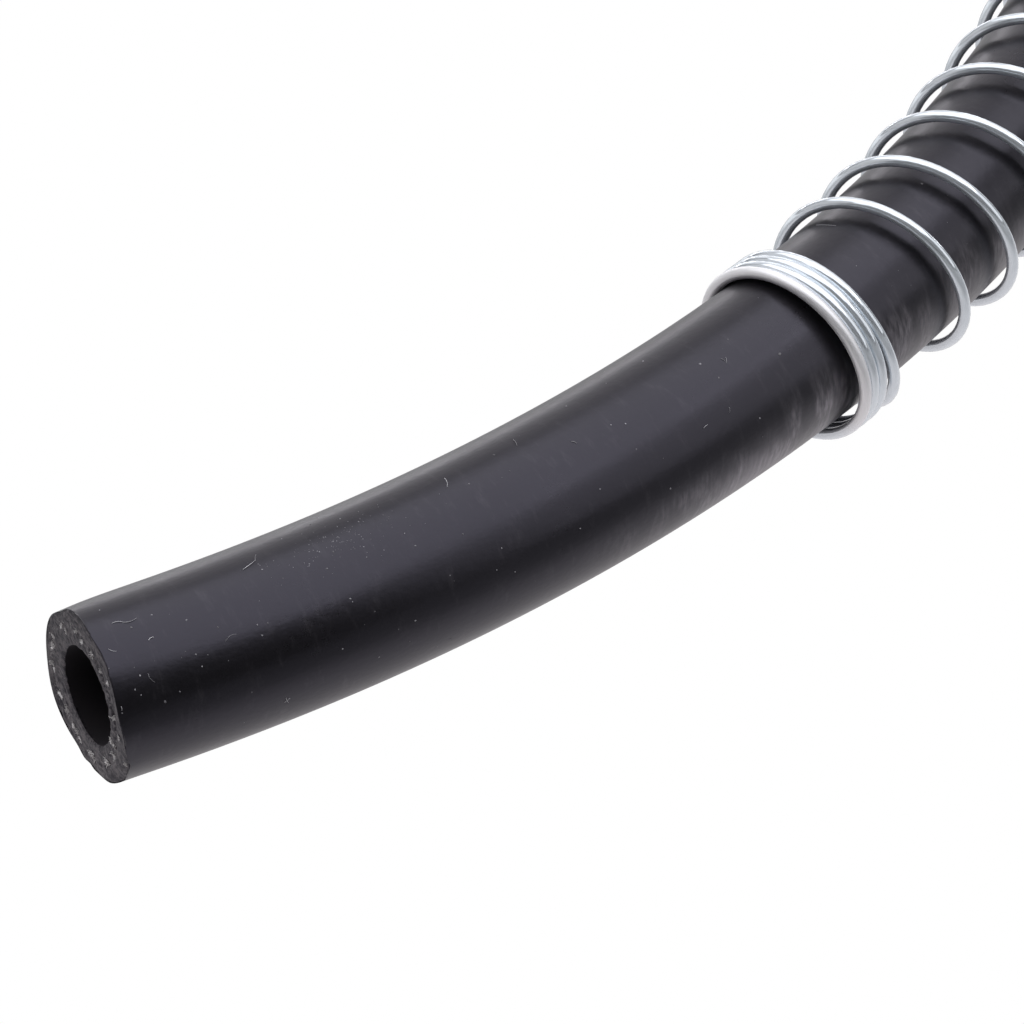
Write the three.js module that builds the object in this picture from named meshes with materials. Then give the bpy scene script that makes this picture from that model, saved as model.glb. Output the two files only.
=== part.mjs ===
// Rubber fuel hose lying in a gentle bend, with a loose wire guard spring round its middle.
// Millimetres, +Z up. The hose leaves its near end along +X and reaches its far end along +Y.

import * as THREE from 'three';

// Hose section
const boreDiameter = 8;
const wallThickness = 3;

// Hose bend, two arcs that meet without a kink
const nearBendRadius = 177;
const nearBendAngle = 42;
const farBendRadius = 203;
const farBendAngle = 48;

// Guard spring
const wireDiameter = 1;
const springClearance = 0.4;
const bareEndLength = 69.5;
const closedTurns = 3.6;
const closedGap = 0.06;
const openPitch = 8;
const pitchRampTurns = 0.25;
const leadOutLength = 2.4;
const leadOutTurns = 0.7;
const coilLean = 0.85;

// Facets
const hoseSides = 20;
const boreSides = 16;
const hoseStepLength = 6;
const wireSides = 6;
const stepsPerTurn = 16;

// Sizes that follow
const hoseRadius = boreDiameter / 2 + wallThickness;
const nearArcLength = nearBendRadius * THREE.MathUtils.degToRad(nearBendAngle);
const farArcLength = farBendRadius * THREE.MathUtils.degToRad(farBendAngle);
const hoseLength = nearArcLength + farArcLength;
const coilRadius = hoseRadius + springClearance + wireDiameter / 2;
const closedPitch = wireDiameter + closedGap;
const springStart = bareEndLength + wireDiameter / 2;
const springSpan = hoseLength - 2 * springStart;
const up = new THREE.Vector3(0, 0, 1);

// Place on the hose's centreline at a distance from the near end, with the direction to its left.
function placeAlongHose(distance) {
  const nearAngle = Math.min(distance, nearArcLength) / nearBendRadius;
  const farAngle = Math.max(distance - nearArcLength, 0) / farBendRadius;
  const heading = nearAngle + farAngle;
  const left = new THREE.Vector3(-Math.sin(heading), Math.cos(heading), 0);
  const leftAtJoin = new THREE.Vector3(-Math.sin(nearAngle), Math.cos(nearAngle), 0);
  const point = new THREE.Vector3(0, nearBendRadius, 0)
    .addScaledVector(leftAtJoin, farBendRadius - nearBendRadius)
    .addScaledVector(left, -farBendRadius);
  return { point, left };
}

class HoseCentreline extends THREE.Curve {
  getPoint(t, target = new THREE.Vector3()) {
    return target.copy(placeAlongHose(t * hoseLength).point);
  }
}

// Advance of the wire along the hose, counted in turns from either end of the spring. After the
// closed turns the pitch opens over a short ramp, and the wire also leads out by a length of its own.
function advanceFromEnd(turn) {
  const pastClosed = Math.max(turn - closedTurns, 0);
  const openTurns = pastClosed < pitchRampTurns
    ? pastClosed ** 2 / (2 * pitchRampTurns)
    : pastClosed - pitchRampTurns / 2;
  const leadOut = leadOutLength * THREE.MathUtils.smoothstep(pastClosed, 0, leadOutTurns);
  return closedPitch * (turn - openTurns) + openPitch * openTurns + leadOut;
}

const turnsToMiddle = (springSpan / 2 - leadOutLength
  + (openPitch - closedPitch) * (closedTurns + pitchRampTurns / 2)) / openPitch;
const totalTurns = 2 * turnsToMiddle;

// The wire starts under the hose and winds left, over the top, right and under as it advances.
// Each coil leans, its top towards the near end.
class SpringCentreline extends THREE.Curve {
  getPoint(t, target = new THREE.Vector3()) {
    const turn = t * totalTurns;
    const advance = turn < turnsToMiddle
      ? advanceFromEnd(turn)
      : springSpan - advanceFromEnd(totalTurns - turn);
    const angle = 2 * Math.PI * turn - Math.PI / 2;
    const across = Math.cos(angle);
    const rise = Math.sin(angle);
    const { point, left } = placeAlongHose(springStart + advance - coilLean * rise);
    return target.copy(point)
      .addScaledVector(left, coilRadius * across)
      .addScaledVector(up, coilRadius * rise);
  }
}

function ring(radius, sides) {
  const corners = [];
  for (let i = 0; i < sides; i += 1) {
    const angle = 2 * Math.PI * i / sides;
    corners.push(new THREE.Vector2(radius * Math.cos(angle), radius * Math.sin(angle)));
  }
  return corners;
}

function sweep(section, path, steps) {
  path.arcLengthDivisions = 8 * steps;
  return new THREE.ExtrudeGeometry(section, { extrudePath: path, steps, bevelEnabled: false });
}

function makeHose() {
  const section = new THREE.Shape(ring(hoseRadius, hoseSides));
  section.holes.push(new THREE.Path(ring(boreDiameter / 2, boreSides)));
  const steps = Math.round(hoseLength / hoseStepLength);
  const rubber = new THREE.MeshStandardMaterial({ color: 0x2b2a2f, roughness: 0.5, metalness: 0 });
  const hose = new THREE.Mesh(sweep(section, new HoseCentreline(), steps), rubber);
  hose.name = 'hose';
  return hose;
}

function makeGuardSpring() {
  const section = new THREE.Shape(ring(wireDiameter / 2, wireSides));
  const steps = Math.round(totalTurns * stepsPerTurn);
  const zinc = new THREE.MeshStandardMaterial({ color: 0xc9ced6, roughness: 0.25, metalness: 1 });
  const spring = new THREE.Mesh(sweep(section, new SpringCentreline(), steps), zinc);
  spring.name = 'guard_spring';
  return spring;
}

// The origin is the middle of the part's outline, on the surface that the spring rests on.
const part = new THREE.Group();
part.add(makeHose(), makeGuardSpring());
const extent = new THREE.Box3().setFromObject(part, true);
const middle = extent.getCenter(new THREE.Vector3());
part.position.set(-middle.x, -middle.y, -extent.min.z);

export default part;
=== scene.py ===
import math

import bpy
import numpy as np
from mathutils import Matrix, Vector


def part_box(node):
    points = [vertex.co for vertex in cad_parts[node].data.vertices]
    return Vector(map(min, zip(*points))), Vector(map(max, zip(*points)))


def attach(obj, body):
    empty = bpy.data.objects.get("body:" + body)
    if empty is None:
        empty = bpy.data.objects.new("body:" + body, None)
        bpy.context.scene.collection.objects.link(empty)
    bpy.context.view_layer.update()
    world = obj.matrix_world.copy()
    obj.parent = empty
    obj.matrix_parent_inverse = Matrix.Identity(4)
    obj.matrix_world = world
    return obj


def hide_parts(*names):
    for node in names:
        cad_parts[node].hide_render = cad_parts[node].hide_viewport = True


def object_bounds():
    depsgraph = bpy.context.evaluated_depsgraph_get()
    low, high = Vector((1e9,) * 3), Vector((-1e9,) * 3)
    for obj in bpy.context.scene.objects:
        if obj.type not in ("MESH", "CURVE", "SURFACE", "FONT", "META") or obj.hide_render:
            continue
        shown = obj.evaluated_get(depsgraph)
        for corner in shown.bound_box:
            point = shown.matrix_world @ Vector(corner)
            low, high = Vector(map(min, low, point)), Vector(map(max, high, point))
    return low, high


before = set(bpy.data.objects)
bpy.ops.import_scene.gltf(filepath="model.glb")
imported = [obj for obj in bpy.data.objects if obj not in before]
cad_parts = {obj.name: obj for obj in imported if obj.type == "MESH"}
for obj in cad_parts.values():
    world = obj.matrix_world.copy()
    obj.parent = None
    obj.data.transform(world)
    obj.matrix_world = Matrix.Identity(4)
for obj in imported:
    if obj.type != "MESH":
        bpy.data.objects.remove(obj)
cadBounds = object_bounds()
hoseLow = np.array(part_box("hose")[0])
millimetre = 0.001
print("frame loaded")

# Camera

cameraSettings = {
    "target": (-0.05278, -0.08134, 0.00148),
    "heading": 61.98,      # degrees from +X that it looks along
    "elevation": 37.07,
    "distance": 0.4954,
    "lens": 216.5,
    "sensor": 36.0,
    "clipStart": 0.01,
}


def placeCamera(settings):
    heading, elevation = (math.radians(settings[name]) for name in ("heading", "elevation"))
    forward = Vector((math.cos(heading) * math.cos(elevation),
                      math.sin(heading) * math.cos(elevation),
                      -math.sin(elevation)))
    data = bpy.data.cameras.new("photoCamera")
    data.lens = settings["lens"]
    data.sensor_width = settings["sensor"]
    data.clip_start = settings["clipStart"]
    camera = bpy.data.objects.new("photoCamera", data)
    camera.location = Vector(settings["target"]) - settings["distance"] * forward
    camera.rotation_euler = forward.to_track_quat("-Z", "Y").to_euler()
    bpy.context.collection.objects.link(camera)
    bpy.context.scene.camera = camera
    return forward


viewForward = placeCamera(cameraSettings)
bpy.context.scene.view_settings.view_transform = "Standard"
print("camera placed")

# Hose, in metres: its section, its route of two arcs that meet without a kink, and its cuts

hoseSizes = {
    "radius": 0.007,
    "boreRadius": 0.004,
    "nearBendRadius": 0.177,
    "nearBendAngle": math.radians(42),
    "farBendRadius": 0.203,
    "farBendAngle": math.radians(48),
    "sides": 200,
    "ringsAlong": 240,
    "ringsInBore": 60,
    "ringsOnCut": 40,
    "endCrowding": 0.85,          # at 0 the outside's rings are evenly spaced, at 1 closest at its ends
    "edgeRounding": 0.00012,
    "edgeRings": (0.3, 1.0),      # first rings on the outside, in edge roundings from the cut
    "mouthRings": (1, 3, 8, 16),  # and in the bore
    "edgeSoftness": 26,           # how fast the rounding dies away across the wall
    "cutRoughness": 0.00009,
    "cutSway": 0.00006,
    "trimRoughness": 0.00004,
    "outsideRipple": 0.000012,
    "noises": {  # cells across the wall or along, cells round, and seed
        "coarse": (7, 70, 3),
        "fine": (17, 99, 4),
        "sway": (1, 7, 5),
        "trim": (1, 23, 6),
        "ripple": (9, 5, 7),
        "groove": (1, 31, 8),
    },
    "cutWaves": [  # how the near cut leaves its circle: middle and width in degrees, then mm in and out
        (51, 14, 0.00, -0.34),
        (103, 9, -0.13, 0.00),
        (158, 24, -0.30, 0.00),
        (198, 11, 0.26, 0.00),
        (222, 14, 0.42, 0.00),
        (258, 14, 0.14, 0.00),
        (273, 4, 0.08, -0.06),
        (290, 8, 0.08, 0.00),
        (328, 28, -0.34, 0.00),
        (17, 24, -0.17, 0.00),
    ],
    "inwardPower": 4,             # waves die away towards the bore by these powers of the place in the wall
    "trimPower": 3,
    "trimReach": 0.0016,          # and along the outside over this length
    "fabricRadius": 0.0056,       # the ring of fabric ends in the cut lies a little off centre
    "fabricOffset": 0.0006,
    "fabricHeading": math.radians(335),
    "fabricGroove": 0.00012,
    "grooveWidth": 0.00022,
    "splitDepth": 0.00060,        # the cut gapes along the fabric on one side
    "splitMiddle": 150,           # degrees round
    "splitWidth": 34,
}
nearArcLength = hoseSizes["nearBendRadius"] * hoseSizes["nearBendAngle"]
hoseLength = nearArcLength + hoseSizes["farBendRadius"] * hoseSizes["farBendAngle"]
hoseStart = hoseLow + (0, hoseSizes["radius"], hoseSizes["radius"])


# Centreline at each distance, with the directions along, left and up. On an arc of radius R turned
# by angle a the point is R sin a ahead and R (1 - cos a) to the left of where the arc begins.
def alongHose(distance):
    nearRadius, farRadius = hoseSizes["nearBendRadius"], hoseSizes["farBendRadius"]
    nearAngle = np.minimum(distance, nearArcLength) / nearRadius
    heading = nearAngle + np.maximum(distance - nearArcLength, 0) / farRadius
    level = np.zeros_like(heading)
    along = np.stack([np.cos(heading), np.sin(heading), level], -1)
    left = np.stack([-np.sin(heading), np.cos(heading), level], -1)
    leftAtJoin = np.stack([-np.sin(nearAngle), np.cos(nearAngle), level], -1)
    centre = np.array([0, nearRadius, 0]) + (farRadius - nearRadius) * leftAtJoin
    up = np.broadcast_to([0.0, 0.0, 1.0], left.shape)
    return hoseStart + centre - farRadius * left, along, left, up


# A grid of rings as a closed mesh with smooth faces. Each ring's points go round from the first
# direction to the second, and places gives each point's two uv values, in metres. A grid that is
# closed along joins its last ring to its first, and an open one gets a flat cap at each end.
def ringMesh(name, points, places, closedAlong, girth):
    rows, sides = points.shape[:2]
    row = np.arange(rows if closedAlong else rows - 1)[:, None]
    side = np.arange(sides)[None, :]
    nextRow, nextSide = (row + 1) % rows, (side + 1) % sides
    corners = [row * sides + side, row * sides + nextSide,
               nextRow * sides + nextSide, nextRow * sides + side]
    faces = np.stack(corners, -1).reshape(-1, 4).tolist()
    capCount = 0 if closedAlong else 2
    if capCount:
        faces += [list(range(sides))[::-1], list(range((rows - 1) * sides, rows * sides))]
    mesh = bpy.data.meshes.new(name)
    mesh.from_pydata(points.reshape(-1, 3).tolist(), [], faces)
    mesh.shade_smooth()
    wrapped = np.concatenate([places, places[:, :1] + (0, girth)], 1)
    upper = np.concatenate([wrapped[1:], wrapped[-1:]])[:len(row)]
    lower = wrapped[:len(row)]
    uvs = np.stack([lower[:, :-1], lower[:, 1:], upper[:, 1:], upper[:, :-1]], 2).reshape(-1, 2)
    uvs = np.concatenate([uvs, np.zeros((capCount * sides, 2))]).astype(np.float32)
    mesh.uv_layers.new(name="surface").data.foreach_set("uv", uvs.ravel())
    piece = bpy.data.objects.new(name, mesh)
    bpy.context.collection.objects.link(piece)
    return piece


# Smooth random heights from -1 to 1 on a sheet that repeats: random values at the corners of a
# grid of cells, blended between corners by 3 t^2 - 2 t^3.
def softNoise(u, v, cellsU, cellsV, seed):
    corner = np.random.default_rng(seed).uniform(-1, 1, (cellsU, cellsV))
    x, y = (u % 1) * cellsU, (v % 1) * cellsV
    i, j = x.astype(int) % cellsU, y.astype(int) % cellsV
    blendX, blendY = (t * t * (3 - 2 * t) for t in (x % 1, y % 1))
    near = corner[i, j] + (corner[i, (j + 1) % cellsV] - corner[i, j]) * blendY
    i = (i + 1) % cellsU
    far = corner[i, j] + (corner[i, (j + 1) % cellsV] - corner[i, j]) * blendY
    return near + (far - near) * blendX


# Radius of the ring of fabric ends at each angle round the hose
def fabricRadius(angle):
    aside = hoseSizes["fabricOffset"] * np.cos(angle - hoseSizes["fabricHeading"])
    return hoseSizes["fabricRadius"] + aside


# The hose as one closed sheet: out across the near cut, along the outside, in across the far cut
# and back along the bore. A point is the centreline point plus its radius times
# (cos t left + sin t up). Noise pushes both cuts in and out. The near cut also has a groove along
# the fabric, a split in it, and waves e^-(x/w)^2 round its rim that push it in and out.
def makeHoseTube(sizes):
    outer, inner, rounding = sizes["radius"], sizes["boreRadius"], sizes["edgeRounding"]
    noises = sizes["noises"]
    wall = outer - inner
    across = np.linspace(0, 1, sizes["ringsOnCut"])
    cutRadius = inner + wall * across
    even = np.linspace(0, 1, sizes["ringsAlong"] + 1)[1:-1]
    crowded = even - sizes["endCrowding"] * np.sin(2 * math.pi * even) / (2 * math.pi)
    edge = rounding * np.array(sizes["edgeRings"])
    along = np.concatenate([edge, hoseLength * crowded, hoseLength - edge[::-1]])
    back = hoseLength * np.linspace(1, 0, sizes["ringsInBore"] + 1)[1:-1]
    mouth = rounding * np.array(sizes["mouthRings"])
    back = np.concatenate([hoseLength - mouth, back, mouth[::-1]])
    distance = np.concatenate([0 * across, along, 0 * across + hoseLength, back])
    radius = np.concatenate([cutRadius, outer + 0 * along, cutRadius[::-1], inner + 0 * back])
    travelled = np.concatenate([wall * (across - 1), along, hoseLength + wall * across,
                                2 * hoseLength + wall - back])
    isNear = np.concatenate([1 + 0 * across, 0 * along, 0 * across, 0 * back])[:, None]
    isFar = np.concatenate([0 * across, 0 * along, 1 + 0 * across, 0 * back])[:, None]
    turn = np.arange(sizes["sides"])[None, :] / sizes["sides"]
    wallPlace = ((radius - inner) / wall)[:, None]
    angle = 2 * math.pi * turn
    sheet, level = wallPlace * 0.9, wallPlace * 0  # short of 1, where the noise repeats, and even
    rough = 0.6 * softNoise(sheet, turn, *noises["coarse"]) + 0.4 * softNoise(sheet, turn, *noises["fine"])
    sway = softNoise(level, turn, *noises["sway"])
    softness = sizes["edgeSoftness"]
    edgeSoft = rounding * (np.exp(-wallPlace * softness) + np.exp(-(1 - wallPlace) * softness))
    groove = np.exp(-((radius[:, None] - fabricRadius(angle)) / sizes["grooveWidth"]) ** 2)
    gape = np.exp(-((np.degrees(angle) - sizes["splitMiddle"]) / sizes["splitWidth"]) ** 2)
    depth = sizes["fabricGroove"] + sizes["splitDepth"] * gape
    groove = groove * depth * (0.55 + 0.45 * softNoise(level, turn, *noises["groove"]))
    push = sizes["cutRoughness"] * rough + sizes["cutSway"] * sway - edgeSoft - groove
    waveIn, waveOut = 0, 0
    for middle, width, inward, outward in sizes["cutWaves"]:
        apart = (np.degrees(angle) - middle + 180) % 360 - 180
        wave = np.exp(-(apart / width) ** 2)
        waveIn = waveIn + millimetre * inward * wave
        waveOut = waveOut + millimetre * outward * wave
    onOutside = np.isclose(radius, outer)[:, None]
    nearCut = np.exp(-distance[:, None] / sizes["trimReach"])
    shifted = distance[:, None] + (isFar - isNear) * push
    shifted = shifted + isNear * waveIn * wallPlace ** sizes["inwardPower"]
    shifted = shifted + waveIn * nearCut * onOutside * (1 - isNear)
    trimmed = sizes["trimRoughness"] * softNoise(level, turn, *noises["trim"]) + waveOut
    trimmed = trimmed * nearCut * (onOutside + (1 - onOutside) * isNear * wallPlace ** sizes["trimPower"])
    ripple = sizes["outsideRipple"] * softNoise(distance[:, None] / hoseLength, turn, *noises["ripple"])
    reach = (radius[:, None] + trimmed + ripple * onOutside)[..., None]
    centre, _, left, up = alongHose(shifted)
    points = centre + reach * (np.cos(angle)[..., None] * left + np.sin(angle)[..., None] * up)
    places = np.stack(np.broadcast_arrays(travelled[:, None], outer * angle), -1)
    tube = ringMesh("hoseTube", points, places, True, 2 * math.pi * outer)
    route = alongHose(np.concatenate([[0], along, [hoseLength]]))[0]
    return tube, route


hoseTube, hoseRoute = makeHoseTube(hoseSizes)
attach(hoseTube, "root")
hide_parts("hose")
print("hose made")

# Guard spring, in metres and turns: closed turns at each end, an open pitch between, and coils
# that lean a little, their tops towards the near end

springSizes = {
    "wire": 0.001,
    "clearance": 0.0004,
    "bareEnd": 0.0695,
    "closedTurns": 3.62,
    "closedPitch": 0.00103,
    "openPitch": 0.008,
    "pitchWave": 0.00117,   # the pitch is a little uneven, as on a spring that has been handled
    "rampTurns": 0.25,
    "leadOut": 0.0036,
    "leadOutTurns": 0.7,
    "lean": 0.00091,
    "openLean": 0.00066,
    "sidePlay": 0.00037,    # the coils lie over to the hose's right
    "openSidePlay": 0.00015,
    "openGrowth": 0.00012,  # the open coils are this much larger in radius, and rest as low
    "ringsPerTurn": 60,
    "sides": 16,
}


# Advance along the hose after a number of turns, counted from one end of the spring: the closed
# pitch, then the open pitch after a short ramp, plus the lead out, which grows as 3 t^2 - 2 t^3,
# less a sine wave that makes one period from the end to the middle.
def advanceFromEnd(turn, turnsToMiddle, sizes):
    ramp = sizes["rampTurns"]
    past = np.maximum(turn - sizes["closedTurns"], 0)
    openTurns = np.where(past < ramp, past ** 2 / (2 * ramp), past - ramp / 2)
    openToMiddle = turnsToMiddle - sizes["closedTurns"] - ramp / 2
    grown = np.clip(past / sizes["leadOutTurns"], 0, 1)
    leadOut = sizes["leadOut"] * grown ** 2 * (3 - 2 * grown)
    wave = sizes["pitchWave"] * np.sin(2 * math.pi * openTurns / openToMiddle)
    return sizes["closedPitch"] * (turn - openTurns) + sizes["openPitch"] * openTurns + leadOut - wave


# The wire is a round section carried along a helix on the bent hose. At angle a the helix is
# R (cos a left + sin a up) off the centreline, and its distance along is the advance less the
# lean times sin a. Past the closed turns, play, lean and size go over to their open values in one
# turn, as 3 t^2 - 2 t^3.
def makeGuardSpring(sizes):
    coilRadius = hoseSizes["radius"] + sizes["clearance"] + sizes["wire"] / 2
    start = sizes["bareEnd"] + sizes["wire"] / 2
    span = hoseLength - 2 * start
    opening = sizes["openPitch"] - sizes["closedPitch"]
    saved = opening * (sizes["closedTurns"] + sizes["rampTurns"] / 2)
    half = (span / 2 - sizes["leadOut"] + saved) / sizes["openPitch"]
    turn = np.linspace(0, 2 * half, int(2 * half * sizes["ringsPerTurn"]))
    fromEnd = np.minimum(turn, 2 * half - turn)
    advance = advanceFromEnd(fromEnd, half, sizes)
    advance = np.where(turn < half, advance, span - advance)
    opened = np.clip(fromEnd - sizes["closedTurns"], 0, 1)
    opened = opened ** 2 * (3 - 2 * opened)
    play = sizes["sidePlay"] + (sizes["openSidePlay"] - sizes["sidePlay"]) * opened
    lean = sizes["lean"] + (sizes["openLean"] - sizes["lean"]) * opened
    growth = (sizes["openGrowth"] * opened)[:, None]
    angle = 2 * math.pi * turn - math.pi / 2
    centre, _, left, up = alongHose(start + advance - lean * np.sin(angle))
    outward = np.cos(angle)[:, None] * left + np.sin(angle)[:, None] * up
    helix = centre + (coilRadius + growth) * outward + growth * up - play[:, None] * left
    forward = np.gradient(helix, axis=0)
    forward /= np.linalg.norm(forward, axis=1)[:, None]
    sideways = np.cross(forward, outward)
    sideways /= np.linalg.norm(sideways, axis=1)[:, None]
    outward = np.cross(sideways, forward)
    around = 2 * math.pi * np.arange(sizes["sides"]) / sizes["sides"]
    section = np.cos(around)[:, None] * outward[:, None] + np.sin(around)[:, None] * sideways[:, None]
    points = helix[:, None] + sizes["wire"] / 2 * section
    travelled = np.concatenate([[0], np.cumsum(np.linalg.norm(np.diff(helix, axis=0), axis=1))])
    places = np.stack(np.broadcast_arrays(travelled[:, None], around[None, :] * sizes["wire"] / 2), -1)
    return ringMesh("guardSpringWire", points, places, False, math.pi * sizes["wire"]), travelled[-1]


guardSpring, wireLength = makeGuardSpring(springSizes)
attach(guardSpring, "root")
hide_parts("guard_spring")
print("guard spring made")

# Fabric ends that lie on the near cut, and lint and dust on the rubber

fabricSizes = {
    "tufts": [  # pixel of the photograph and relative size
        (62.1, 625.9, 0.9), (65.9, 630.6, 0.8), (76.2, 630.8, 0.8), (82.2, 641.5, 0.8),
        (91.9, 654.3, 0.9), (54.1, 636.9, 1.1), (53.0, 645.2, 1.3), (52.8, 663.0, 0.8),
        (54.4, 669.3, 0.8), (59.7, 692.4, 0.7), (61.6, 696.4, 0.7), (67.5, 709.2, 1.1),
        (73.5, 725.2, 0.7), (76.9, 730.6, 0.9), (80.1, 738.9, 0.8), (92.9, 755.4, 1.3),
        (107.4, 762.1, 1.0), (114.4, 756.0, 1.0), (110.8, 739.9, 0.8), (113.3, 744.6, 0.7),
        (113.6, 718.0, 0.6), (108.0, 683.5, 0.7), (100.6, 671.3, 0.6), (125.4, 764.1, 0.6),
        (118.6, 738.0, 0.6),
    ],
    "seed": 21,
    "strandsPerTuft": 46,
    "tuftSpread": 0.00013,
    "sink": 0.00004,               # how deep a strand's foot is in the rubber
    "strandRadius": 0.000032,
    "radiusRange": (0.6, 1.5),
    "strandLength": 0.00022,
    "lengthRange": (0.5, 1.2),
    "riseRange": (0.3, 0.7),       # how steeply it rises, as a share of its length
    "stray": 0.00003,
    "taper": 0.5,
}
lintSizes = {
    "footLift": 0.00002,           # how far a fibre's ends and its middle are off the rubber
    "middleLift": 0.00003,
    "taper": 0.3,
    "fibres": [  # start and end as pixels of the photograph, then bow to one side and thickness in mm
        ((111.7, 623.5), (124.0, 622.6), 0.10, 0.040),
        ((123.0, 622.5), (136.4, 618.1), -0.16, 0.042),
        ((108.3, 648.9), (116.3, 651.3), -0.10, 0.036),
        ((148.5, 640.2), (153.8, 637.1), 0.05, 0.070),
        ((147.8, 673.0), (155.2, 682.4), -0.14, 0.022),
        ((121.0, 706.5), (121.7, 710.5), 0.02, 0.050),
        ((225.4, 641.6), (236.5, 634.0), 0.16, 0.026),
        ((284.6, 702.0), (289.8, 698.2), 0.06, 0.034),
        ((286.0, 697.4), (288.4, 702.8), -0.05, 0.030),
        ((571.0, 441.6), (576.5, 443.4), 0.05, 0.040),
        ((721.0, 359.0), (724.6, 361.2), 0.04, 0.040),
        ((725.6, 357.6), (726.2, 363.2), 0.03, 0.045),
        ((703.4, 428.4), (707.4, 424.8), 0.04, 0.060),
        ((729.0, 407.2), (729.4, 412.8), 0.03, 0.030),
        ((816.3, 225.3), (836.0, 225.8), -0.12, 0.026),
        ((242.4, 570.1), (255.4, 560.5), -0.06, 0.042),
        ((255.3, 561.0), (255.8, 554.8), 0.03, 0.036),
        ((444.3, 478.3), (447.1, 486.9), 0.10, 0.050),
        ((513.2, 440.0), (517.0, 445.7), 0.05, 0.045),
    ],
}
dustSizes = {
    "grains": [  # pixel of the photograph, and width in millimetres
        (131.1, 627.5, 0.22), (151.8, 614.8, 0.15), (186.4, 620.1, 0.20), (185.3, 651.6, 0.13),
        (139.8, 675.7, 0.18), (141.1, 695.1, 0.14), (164.9, 701.8, 0.22), (135.1, 689.7, 0.13),
        (122.4, 713.2, 0.15), (99.6, 610.1, 0.15), (134.4, 667.6, 0.13), (109.0, 668.3, 0.13),
        (179.9, 691.7, 0.12), (267.7, 623.1, 0.18), (262.3, 635.5, 0.16), (218.0, 627.3, 0.15),
        (257.5, 625.0, 0.12), (195.8, 654.4, 0.15), (207.8, 655.0, 0.14), (202.1, 666.5, 0.13),
        (251.8, 692.3, 0.15), (779.7, 354.4, 0.32), (700.1, 364.0, 0.20), (642.9, 361.2, 0.24),
        (566.3, 406.3, 0.22), (610.9, 424.9, 0.16), (625.5, 423.7, 0.16), (718.9, 377.8, 0.15),
        (759.8, 418.2, 0.20), (670.3, 488.7, 0.18), (580.2, 528.5, 0.16), (636.3, 449.1, 0.16),
        (599.8, 489.2, 0.13), (922.1, 183.7, 0.24), (494.0, 454.9, 0.22), (327.0, 568.6, 0.18),
        (350.5, 598.8, 0.20), (352.6, 601.8, 0.14), (415.2, 620.8, 0.20), (415.2, 545.8, 0.15),
        (463.0, 534.1, 0.16), (469.1, 484.0, 0.18), (378.3, 507.0, 0.15), (358.6, 521.7, 0.14),
        (317.6, 517.5, 0.17), (340.0, 518.8, 0.14), (333.3, 551.9, 0.17), (262.1, 569.5, 0.16),
        (342.5, 648.9, 0.16), (374.8, 611.6, 0.13), (450.6, 639.0, 0.17), (379.2, 657.1, 0.14),
        (398.4, 629.4, 0.12), (409.8, 641.3, 0.13), (501.7, 548.1, 0.14), (496.9, 570.1, 0.12),
        (515.1, 572.0, 0.12), (450.0, 575.5, 0.12),
    ],
    "seed": 34,
    "scattered": 260,              # more grains anywhere but below
    "scatteredWidth": (0.04, 0.11),
    "scatteredReach": (0.004, 0.996),
    "scatteredTurn": (-45, 225),
    "patch": {"count": 150, "distance": 0.0215, "along": 0.0028, "angle": 100, "round": 11},
    "sides": 7,
    "tilts": (-25, 12, 45, 75),    # the rings of a grain, in degrees up from its widest
    "height": 0.4,
    "uneven": (0.6, 1.25),
}
photoPixels = 1024
askew = (0.31, 0.52, 0.79)         # lies along no strand and no normal


# Two directions at right angles to each direction given
def besides(direction):
    side = np.cross(direction, askew)
    side /= np.linalg.norm(side, axis=-1)[..., None]
    return side, np.cross(direction, side)


# Many small closed tubes as one mesh with smooth faces, from points by tube, ring and side
def tubesMesh(name, points):
    count, rings, sides = points.shape[:3]
    first = (np.arange(count) * rings * sides)[:, None, None]
    row = sides * np.arange(rings - 1)[None, :, None]
    corner, following = np.arange(sides), (np.arange(sides) + 1) % sides
    walls = np.stack([first + row + corner, first + row + following,
                      first + row + sides + following, first + row + sides + corner], -1).reshape(-1, 4)
    feet = (first[:, 0] + corner[::-1]).tolist()
    tips = (first[:, 0] + sides * (rings - 1) + corner).tolist()
    mesh = bpy.data.meshes.new(name)
    mesh.from_pydata(points.reshape(-1, 3).tolist(), [], walls.tolist() + feet + tips)
    mesh.shade_smooth()
    piece = bpy.data.objects.new(name, mesh)
    bpy.context.collection.objects.link(piece)
    return piece


# Thin strands as one mesh. A strand's middle runs from its foot as foot + t reach + 4 t (1 - t) bow,
# and four-sided rings are set on it, thinner towards the tip.
def strandMesh(name, foot, reach, bow, radius, taper):
    rings, sides = 7, 4
    t = np.linspace(0, 1, rings)[None, :, None]
    middle = foot[:, None] + t * reach[:, None] + 4 * t * (1 - t) * bow[:, None]
    along = np.gradient(middle, axis=1)
    along /= np.linalg.norm(along, axis=2)[..., None]
    side, other = besides(along)
    around = (2 * math.pi / sides * np.arange(sides))[:, None]
    outward = np.cos(around) * side[:, :, None] + np.sin(around) * other[:, :, None]
    thick = (radius[:, None, None] * (1 - taper * t))[:, :, None]
    return tubesMesh(name, middle[:, :, None] + thick * outward)


# Where the line of sight through a pixel of the photograph meets the hose. On a sensor that reaches
# from -1 to 1, the lens stands 2 x lens / sensor in front.
def seenOnHose(pixel):
    camera = bpy.context.scene.camera
    half = photoPixels / 2
    spread = cameraSettings["lens"] / cameraSettings["sensor"] * 2
    ray = Vector(((pixel[0] - half) / half, (half - pixel[1]) / half, -spread))
    ray = camera.rotation_euler.to_matrix() @ ray
    place, normal = hoseTube.ray_cast(camera.location, ray)[1:3]
    return np.array(place), np.array(normal)


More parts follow.
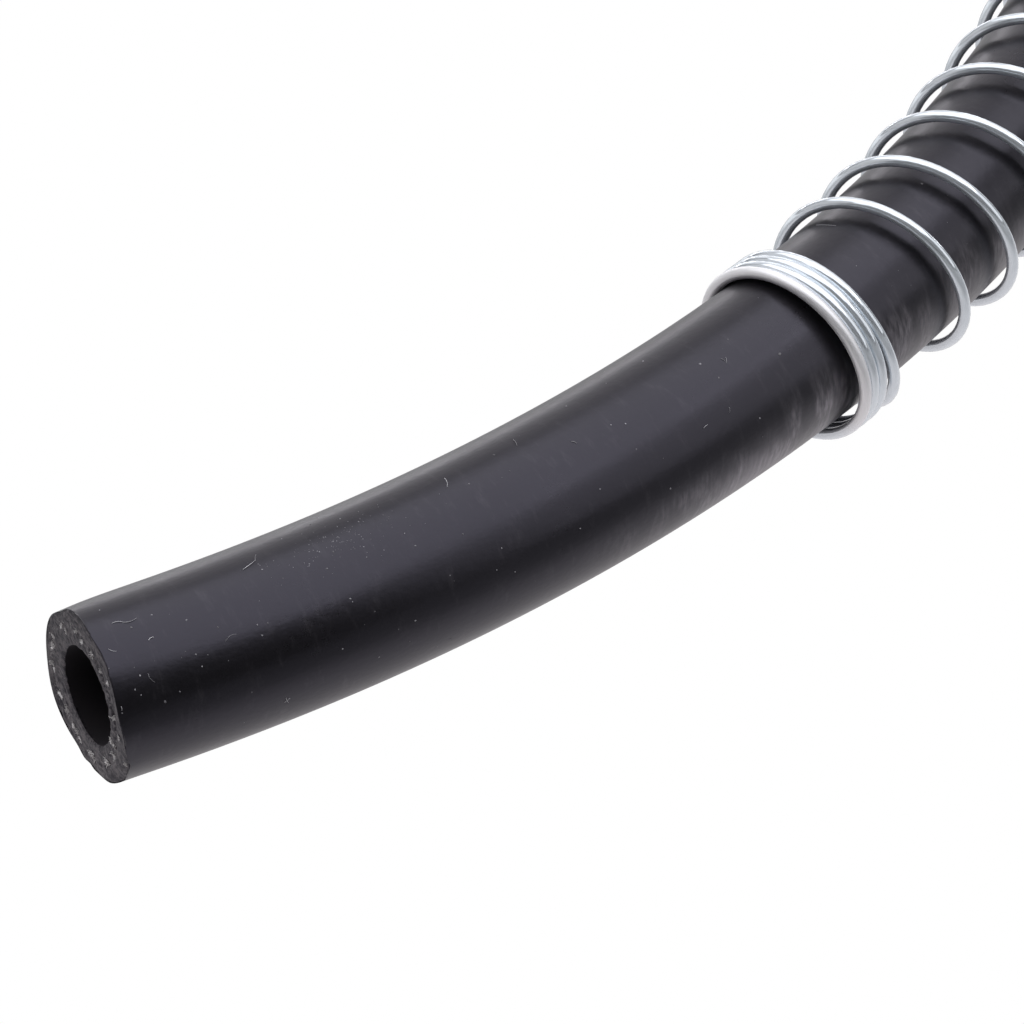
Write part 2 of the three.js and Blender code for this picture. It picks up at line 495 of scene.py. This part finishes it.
# Each tuft is a bunch of short strands that lie on the cut every way, their tips a little clear of it
def makeFabricEnds(sizes):
    random = np.random.default_rng(sizes["seed"])
    found = [seenOnHose(tuft[:2]) for tuft in sizes["tufts"]]
    place, normal = (np.repeat(np.array(each), sizes["strandsPerTuft"], 0) for each in zip(*found))
    strong = np.repeat([tuft[2] for tuft in sizes["tufts"]], sizes["strandsPerTuft"])[:, None]
    count = len(place)
    side, other = besides(normal)
    shift = strong * sizes["tuftSpread"] * random.normal(0, 1, (2, count, 1))
    foot = place + shift[0] * side + shift[1] * other - sizes["sink"] * normal
    way = random.uniform(0, 2 * math.pi, (count, 1))
    length = strong * sizes["strandLength"] * random.uniform(*sizes["lengthRange"], (count, 1))
    rise = random.uniform(*sizes["riseRange"], (count, 1))
    reach = length * (np.cos(way) * side + np.sin(way) * other + rise * normal)
    bow = sizes["stray"] * random.normal(0, 1, (count, 3))
    thick = sizes["strandRadius"] * random.uniform(*sizes["radiusRange"], count)
    return strandMesh("fabricEnds", foot, reach, bow, thick, sizes["taper"])


# A fibre lies on the hose, which bulges over the straight line of length d between the fibre's
# ends by d^2 / 8R, so its bow has that height too
def makeLint(sizes):
    feet, reaches, bows, thick = [], [], [], []
    for start, end, bow, width in sizes["fibres"]:
        (foot, normal), (tip, _) = seenOnHose(start), seenOnHose(end)
        reach = tip - foot
        aside = np.cross(normal, reach)
        lift = reach @ reach / (8 * hoseSizes["radius"]) + sizes["middleLift"]
        feet.append(foot + sizes["footLift"] * normal)
        reaches.append(reach)
        bows.append(bow * millimetre * aside / np.linalg.norm(aside) + lift * normal)
        thick.append(millimetre / 2 * width)
    feet, reaches, bows, thick = (np.array(each) for each in (feet, reaches, bows, thick))
    return strandMesh("lintFibres", feet, reaches, bows, thick, sizes["taper"])


# Each grain is a low lump on the rubber, with rings of radius w cos e at height h w sin e, made uneven
def makeDust(sizes):
    random = np.random.default_rng(sizes["seed"])
    found = [seenOnHose(grain[:2]) for grain in sizes["grains"]]
    place, normal = (np.array(each) for each in zip(*found))
    width = millimetre / 2 * np.array([grain[2] for grain in sizes["grains"]])
    distance = hoseLength * random.uniform(*sizes["scatteredReach"], sizes["scattered"])
    angle = random.uniform(*np.radians(sizes["scatteredTurn"]), sizes["scattered"])
    patch = sizes["patch"]
    distance = np.append(distance, random.normal(patch["distance"], patch["along"], patch["count"]))
    angle = np.append(angle, np.radians(random.normal(patch["angle"], patch["round"], patch["count"])))
    centre, _, left, up = alongHose(distance)
    outward = np.cos(angle)[:, None] * left + np.sin(angle)[:, None] * up
    place = np.concatenate([place, centre + hoseSizes["radius"] * outward])
    normal = np.concatenate([normal, outward])
    scattered = millimetre / 2 * random.uniform(*sizes["scatteredWidth"], len(distance))
    width = np.concatenate([width, scattered])[:, None, None, None]
    side, other = besides(normal)
    around = 2 * math.pi * np.arange(sizes["sides"]) / sizes["sides"]
    tilt = np.radians(sizes["tilts"])[:, None, None]
    uneven = random.uniform(*sizes["uneven"], (len(place), 1, sizes["sides"], 1))
    flat = np.cos(around)[:, None] * side[:, None] + np.sin(around)[:, None] * other[:, None]
    wide = width * np.cos(tilt) * uneven
    tall = sizes["height"] * width * np.sin(tilt)
    points = place[:, None, None] + wide * flat[:, None] + tall * normal[:, None, None]
    return tubesMesh("dustGrains", points)


bpy.context.view_layer.update()
fabricEnds = makeFabricEnds(fabricSizes)
lintFibres = makeLint(lintSizes)
dustGrains = makeDust(dustSizes)
for piece in (fabricEnds, lintFibres, dustGrains):
    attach(piece, "root")
print("fabric ends, lint and dust made")


# Materials. A Socket is one output in a node tree, and its operators add Math nodes.
class Socket:
    def __init__(self, finish, socket):
        self.finish = finish
        self.socket = socket

    def maths(self, operation, first, second):
        return self.finish.add("Math", {"operation": operation}, {0: first, 1: second})

    def __add__(self, other):
        return self.maths("ADD", self, other)

    def __radd__(self, other):
        return self.maths("ADD", other, self)

    def __sub__(self, other):
        return self.maths("SUBTRACT", self, other)

    def __rsub__(self, other):
        return self.maths("SUBTRACT", other, self)

    def __mul__(self, other):
        return self.maths("MULTIPLY", self, other)

    def __rmul__(self, other):
        return self.maths("MULTIPLY", other, self)


# A Finish is one piece's material, and each node that is used has a method
class Finish:
    def __init__(self, name, piece):
        self.material = bpy.data.materials.new(name)
        self.material.use_nodes = True
        self.tree = self.material.node_tree
        self.shader = self.tree.nodes["Principled BSDF"]
        piece.data.materials.clear()
        piece.data.materials.append(self.material)

    def plug(self, value, socket):
        if isinstance(value, Socket):
            self.tree.links.new(value.socket, socket)
        else:
            socket.default_value = value

    def add(self, kind, settings, sockets, output=0):
        node = self.tree.nodes.new("ShaderNode" + kind)
        for name, value in settings.items():
            setattr(node, name, value)
        for name, value in sockets.items():
            self.plug(value, node.inputs[name])
        return Socket(self, node.outputs[output])

    def set(self, values):
        for name, value in values.items():
            self.plug(value, self.shader.inputs[name])

    def distance(self, value):  # how far a value lies from 0
        return self.add("Math", {"operation": "ABSOLUTE"}, {0: value})

    def surface(self, alongScale=1, roundScale=1):  # place on the unrolled surface, in metres
        uv = self.add("UVMap", {"uv_map": "surface"}, {})
        return self.add("Mapping", {}, {"Vector": uv, "Scale": (alongScale, roundScale, 1)})

    def split(self, vector, output):
        return self.add("SeparateXYZ", {}, {"Vector": vector}, output)

    def noise(self, vector, detail, roughness=0.5, scale=1.0):
        return self.add("TexNoise", {"noise_dimensions": "3D"},
                        {"Vector": vector, "Scale": scale, "Detail": detail, "Roughness": roughness})

    def surfaceNoise(self, alongScale, roundScale, detail, roughness=0.5):
        return self.noise(self.surface(alongScale, roundScale), detail, roughness)

    def rise(self, value, low, high):  # 0 below low, 1 above high, smooth between
        return self.add("MapRange", {"interpolation_type": "SMOOTHSTEP"},
                        {"Value": value, "From Min": low, "From Max": high})

    def mix(self, factor, first, second):  # by the sockets that take and give colours
        return self.add("Mix", {"data_type": "RGBA"}, {0: factor, 6: first, 7: second}, 2)

    def bump(self, height, distance):
        return self.add("Bump", {}, {"Height": height, "Distance": distance, "Strength": 1.0})


rubberFinish = {
    "black": (0.0066, 0.0060, 0.0066, 1),
    # pale grey of wear and mottle, and of the sheen painted on the scuffs
    "wearAndSheen": (0.27, 0.25, 0.27, 1),
    "cutDark": (0.0060, 0.0048, 0.0046, 1),
    "cutGrey": (0.098, 0.088, 0.088, 1),
    "fabric": (0.34, 0.32, 0.32, 1),
    "bore": (0.0080, 0.0064, 0.0054, 1),
    "gloss": (0.84, 0.80, 1.0, 1),
    "specular": 0.55,
    "roughness": 0.31,
    "cutRoughness": 0.62,
    "bumpHeight": 0.00003,
    "outsideBlend": (0.00012, 0.00004),  # how far a colour blends over each edge, to either side of it
    "mouthBlend": (0.00008, 0.00004),
    "cloud": (70, 90, 3.0),              # noises: scale along and round, detail, and roughness
    "streaks": (2300, 560, 3.0, 0.5),
    "grain": (1500, 2400, 2.0),
    "patches": (330, 130, 2.0),
    "haze": (900, 260, 4.0, 0.7),
    "cutGrain": (2600, 1900, 4.0, 0.65),
    "cutPatches": (900, 500, 3.0, 0.6),
    "bundles": (3400, 2200, 2.0, 0.6),
    "streakRise": (0.32, 0.84),          # where in its noise each begins to show and shows in full
    "patchRise": (0.36, 0.60),
    "hazeRise": (0.52, 0.85),
    "cutRise": (0.42, 0.62),
    "bundleRise": (0.52, 0.66),
    "gapShadeRise": (0.40, 0.55),
    "fabricFade": (0.00015, 0.00060),    # metres from the ring of fabric
    "splitShadeFade": (0.00006, 0.00026),
    "splitShadeTurnFade": (0.5, 0.9),         # radians from the split's middle
    "scuffAndSheenStrength": (0.10, 0.72),       # even and streaky parts
    "rubbedAndSheenStrength": (0.52, 0.80),
    "wearAndSheenShare": 0.75,                   # how far each goes towards its colour
    "hazeShare": 0.09,
    "fabricShare": 0.45,
    # share of painted shade in the split
    "splitShadeShare": 0.85,
    "spotFade": (0.3, 0.35),
    # the rubbed patch and the scuffs: real wear with a painted sheen, mixed towards the pale grey
    "rubbedAndSheen": (0.0590, 0.0064, 202, 28),
    "scuffAndSheenSpots": [  # spots: middle and half width along in metres, then the same round in degrees
        (0.0590, 0.0200, 198, 32),
        (0.0660, 0.0065, 190, 44),
        (0.0805, 0.0085, 184, 50),
        (0.0920, 0.0075, 186, 46),
        (0.1020, 0.0065, 186, 42),
    ],
}


# A spot on the hose, from 1 at its middle to 0 past its half widths along and round the hose. It
# begins to fade at the two shares of them that are given.
def spot(finish, distance, girthPlace, place, fadeAlong, fadeRound):
    middle, halfWidth, angle, halfAngle = place
    radius = hoseSizes["radius"]
    reach = radius * math.radians(halfAngle)
    across = finish.distance(distance - middle)
    around = finish.distance(girthPlace - radius * math.radians(angle))
    inReach = 1 - finish.rise(around, fadeRound * reach, reach)
    return (1 - finish.rise(across, fadeAlong * halfWidth, halfWidth)) * inReach


# Outside, rubber is satin black with cloudy gloss and fine grain. A rubbed patch before the spring and
# streaks round the hose where the spring has worked on it are real wear painted pale, with the sheen they
# catch painted into that colour too
def rubberOutside(finish, look, distance, girthPlace):
    streaks = finish.surfaceNoise(*look["streaks"])
    wearAndSheen = 0
    for place in look["scuffAndSheenSpots"]:
        wearAndSheen = wearAndSheen + spot(finish, distance, girthPlace, place, *look["spotFade"])
    patches = finish.rise(finish.surfaceNoise(*look["patches"]), *look["patchRise"])
    even, streaky = look["scuffAndSheenStrength"]
    scuffAndSheen = (even + streaky * finish.rise(streaks, *look["streakRise"])) * wearAndSheen * patches
    even, streaky = look["rubbedAndSheenStrength"]
    rubbedAndSheen = spot(finish, distance, girthPlace, look["rubbedAndSheen"], 0, 0)
    scuffAndSheen = scuffAndSheen + rubbedAndSheen * (even + streaky * streaks)
    haze = finish.rise(finish.surfaceNoise(*look["haze"]), *look["hazeRise"])
    # the scuffs' pale colour is real wear and painted sheen together
    share = look["wearAndSheenShare"] * scuffAndSheen + look["hazeShare"] * haze
    return finish.mix(share, look["black"], look["wearAndSheen"]), scuffAndSheen


# On the cut, rubber is charcoal and grainy, with pale bundles of fabric in a ring on the near cut.
# The ring's distance from the outside is its radius there less the hose's, and the split gets painted
# shade: it is mixed towards the bore's near black.
def rubberCut(finish, look, distance, girthPlace, cutGrain, nearCut):
    radius = hoseSizes["radius"]
    cutPatches = finish.surfaceNoise(*look["cutPatches"])
    shade = finish.rise(0.6 * cutGrain + 0.4 * cutPatches, *look["cutRise"])
    colour = finish.mix(shade, look["cutDark"], look["cutGrey"])
    turn = girthPlace * (1 / radius)
    ring = finish.add("Math", {"operation": "COSINE"}, {0: turn - hoseSizes["fabricHeading"]})
    ring = ring * hoseSizes["fabricOffset"]
    off = finish.distance(distance - (ring + (hoseSizes["fabricRadius"] - radius)))
    bundles = finish.rise(finish.surfaceNoise(*look["bundles"]), *look["bundleRise"])
    fabric = (1 - finish.rise(off, *look["fabricFade"])) * bundles * nearCut
    colour = finish.mix(look["fabricShare"] * fabric, colour, look["fabric"])
    # painted shade in the gaping split along the fabric, towards the bore's near black
    aside = finish.distance(turn - math.radians(hoseSizes["splitMiddle"]))
    inReach = 1 - finish.rise(aside, *look["splitShadeTurnFade"])
    split = (1 - finish.rise(off, *look["splitShadeFade"])) * inReach * nearCut
    split = look["splitShadeShare"] * split * finish.rise(cutPatches, *look["gapShadeRise"])
    return finish.mix(split, colour, look["bore"])


# The distance along the sheet tells the near cut, the outside, the far cut and the bore apart
def paintRubber(piece, look):
    finish = Finish("blackRubber", piece)
    place = finish.surface()
    distance, girthPlace = finish.split(place, "X"), finish.split(place, "Y")
    beyond, within = look["outsideBlend"]
    farMouth = hoseLength + hoseSizes["radius"] - hoseSizes["boreRadius"]
    onCut, inside = look["mouthBlend"]
    nearCut = 1 - finish.rise(distance, -beyond, within)
    farCut = finish.rise(distance, hoseLength - within, hoseLength + beyond)
    inBore = finish.rise(distance, farMouth - onCut, farMouth + inside)
    cut = (nearCut + farCut) * (1 - inBore)
    cloud = finish.surfaceNoise(*look["cloud"])
    grain = finish.surfaceNoise(*look["grain"])
    cutGrain = finish.surfaceNoise(*look["cutGrain"])
    colour, scuffAndSheen = rubberOutside(finish, look, distance, girthPlace)
    cutColour = rubberCut(finish, look, distance, girthPlace, cutGrain, nearCut)
    colour = finish.mix(inBore, finish.mix(cut, colour, cutColour), look["bore"])
    roughness = look["roughness"] + 0.18 * (cloud - 0.5) + 0.08 * (grain - 0.5) + 0.10 * scuffAndSheen
    roughness = roughness + (look["cutRoughness"] - look["roughness"]) * cut
    roughness = roughness + (1 - look["roughness"]) * inBore
    height = 0.35 * grain + 0.8 * scuffAndSheen + 5.0 * cutGrain * cut
    finish.set({"Base Color": colour, "Roughness": roughness, "Specular IOR Level": look["specular"],
                "Specular Tint": look["gloss"], "Normal": finish.bump(height, look["bumpHeight"])})


zincFinish = {
    "zinc": (0.82, 0.87, 0.92, 1),
    "dull": (0.70, 0.75, 0.80, 1),
    "ground": (0.92, 0.91, 0.93, 1),
    "metallic": 0.57,
    "groundMetallic": 0.42,
    "roughness": 0.10,
    "groundRoughness": 0.42,
    "groundTurn": 0.9,       # the first turn is dull for this share of its length
    "groundFade": 1.15,      # and bright from this many times as far
    "drawn": (70, 6200, 2.0),  # noises: scale along and round, and detail
    "cloud": (240, 500, 3.0),
    "cloudRise": (0.45, 0.8),
    "bumpHeight": 0.000014,
}


# Drawn wire: faint lines along it, cloudy gloss, and a dull first turn at each end
def paintZinc(piece, look, wireLength):
    finish = Finish("brightZinc", piece)
    travelled = finish.split(finish.surface(), "X")
    drawn = finish.surfaceNoise(*look["drawn"])
    cloud = finish.surfaceNoise(*look["cloud"])
    reach = look["groundTurn"] * 2 * math.pi * hoseSizes["radius"]
    faded = reach * look["groundFade"]
    ground = 1 - finish.rise(travelled, reach, faded)
    ground = ground + finish.rise(travelled, wireLength - faded, wireLength - reach)
    colour = finish.mix(finish.rise(cloud, *look["cloudRise"]), look["zinc"], look["dull"])
    colour = finish.mix(ground, colour, look["ground"])
    roughness = look["roughness"] + (look["groundRoughness"] - look["roughness"]) * ground
    roughness = roughness + 0.10 * (cloud - 0.5) + 0.08 * (drawn - 0.5)
    metallic = look["metallic"] + (look["groundMetallic"] - look["metallic"]) * ground
    finish.set({"Base Color": colour, "Metallic": metallic, "Roughness": roughness,
                "Normal": finish.bump(drawn + 0.8 * ground * cloud, look["bumpHeight"])})


fabricFinish = {
    "pale": (0.93, 0.91, 0.91, 1),
    "grey": (0.44, 0.42, 0.42, 1),
    "roughness": 0.55,
    "scale": 2600.0,
}
lintFinish = {
    "pale": (0.80, 0.79, 0.83, 1),
    "grey": (0.36, 0.35, 0.37, 1),
    "roughness": 0.8,
    "scale": 500.0,
}
dustFinish = {
    "pale": (0.42, 0.41, 0.44, 1),
    "grey": (0.13, 0.125, 0.135, 1),
    "roughness": 0.8,
    "scale": 900.0,
}


mottleRise = (0.42, 0.68)


# Dull fluff, mottled between a grey and a pale colour
def paintFluff(piece, name, look):
    finish = Finish(name, piece)
    place = finish.add("TexCoord", {}, {}, "Object")
    shade = finish.rise(finish.noise(place, 1.0, scale=look["scale"]), *mottleRise)
    colour = finish.mix(shade, look["grey"], look["pale"])
    finish.set({"Base Color": colour, "Roughness": look["roughness"]})


paintRubber(hoseTube, rubberFinish)
paintZinc(guardSpring, zincFinish, wireLength)
paintFluff(fabricEnds, "fabricFluff", fabricFinish)
paintFluff(lintFibres, "lintFluff", lintFinish)
paintFluff(dustGrains, "dust", dustFinish)
print("finishes made")

# Stage: a white floor, a large soft light overhead, two behind and one at each side

stageSettings = {
    "floorSize": 6.0,
    "floorGlow": (1.0, 1.0, 1.0, 1),
    "floorRoughness": 0.9,
    "bounceDrop": 0.0002,
    "bounceColour": (0.3, 0.3, 0.3, 1),
    "bounceNear": (0.70, 0.672, 0.679, 1),  # glow of the floor as the hose mirrors it, beside the hose
    "bounceFar": (0.04, 0.04, 0.04, 1),     # and further away
    "bounceReach": (0.005, 0.036),
    "bounceBehind": (0.85, 0.85, 0.85, 1),
    "behindReach": (0.010, 0.080),
    "roomGlow": (0.028, 0.028, 0.028, 1),
    "lights": [  # name, place nearer than, to the right of and above the target, size, power, colour
        ("overhead", (-0.14, 0.0, 0.85), (2.1, 1.43), 16.5, (0.96, 0.97, 1.0)),
        ("behind", (-1.3, 0.0, 0.41), (2.4, 0.82), 4.9, (1.0, 0.98, 1.0)),
        ("horizon", (-1.35, 0.0, 0.04), (2.6, 0.10), 3.0, (1.0, 0.98, 1.0)),
        ("leftSide", (0.0, -1.1, 0.4), (1.2, 0.8), 1.5, (1.0, 0.97, 0.97)),
        ("rightSide", (0.0, 1.15, 0.5), (1.0, 0.9), 2.8, (0.98, 0.98, 1.0)),
    ],
}


def makeFloor(name, level, settings):
    half = settings["floorSize"] / 2
    corners = [(-half, -half, level), (half, -half, level), (half, half, level), (-half, half, level)]
    mesh = bpy.data.meshes.new(name)
    mesh.from_pydata(corners, [], [(0, 1, 2, 3)])
    floor = bpy.data.objects.new(name, mesh)
    bpy.context.collection.objects.link(floor)
    paint = Finish(name + "Paint", floor)
    paint.set({"Roughness": settings["floorRoughness"], "Specular IOR Level": 0.0,
               "Emission Strength": 1.0})
    return floor, paint


# The floor that the camera sees is white all over. The one that lights and is mirrored by the hose
# is bright beside the hose, dim in front of it and bright again behind: its glow follows the
# distance from the near arc.
def makeFloors(settings):
    floor, paint = makeFloor("whiteFloor", cadBounds[0][2], settings)
    paint.set({"Base Color": (0, 0, 0, 1), "Emission Color": settings["floorGlow"]})
    floor.visible_diffuse = floor.visible_glossy = False
    bounce, paint = makeFloor("bounceFloor", cadBounds[0][2] - settings["bounceDrop"], settings)
    bounce.visible_camera = False
    arcCentre = hoseStart + (0, hoseSizes["nearBendRadius"], 0)
    place = paint.add("TexCoord", {}, {}, "Object")
    outward = paint.add("VectorMath", {"operation": "DISTANCE"}, {0: place, 1: tuple(arcCentre)}, "Value")
    inFront = outward - hoseSizes["nearBendRadius"]
    aside = paint.rise(paint.distance(inFront), *settings["bounceReach"])
    behind = paint.rise(0 - inFront, *settings["behindReach"])
    glow = paint.mix(aside, settings["bounceNear"], settings["bounceFar"])
    glow = paint.mix(behind, glow, settings["bounceBehind"])
    paint.set({"Base Color": settings["bounceColour"], "Emission Color": glow})


# Each light faces the camera's target, from a place measured from it: towards the camera, to its
# right and up
def makeLights(settings):
    target = Vector(cameraSettings["target"])
    ahead = Vector((viewForward.x, viewForward.y, 0)).normalized()
    right = Vector((ahead.y, -ahead.x, 0))
    for name, (front, side, height), (width, depth), power, colour in settings["lights"]:
        data = bpy.data.lights.new(name, "AREA")
        data.shape = "RECTANGLE"
        data.size = width
        data.size_y = depth
        data.energy = power
        data.color = colour
        lamp = bpy.data.objects.new(name, data)
        lamp.location = target - front * ahead + side * right + Vector((0, 0, height))
        lamp.rotation_euler = (lamp.location - target).to_track_quat("Z", "Y").to_euler()
        bpy.context.collection.objects.link(lamp)
    world = bpy.data.worlds.new("dimRoom")
    world.use_nodes = True
    world.node_tree.nodes["Background"].inputs["Color"].default_value = settings["roomGlow"]
    bpy.context.scene.world = world


makeFloors(stageSettings)
makeLights(stageSettings)
print("stage made")
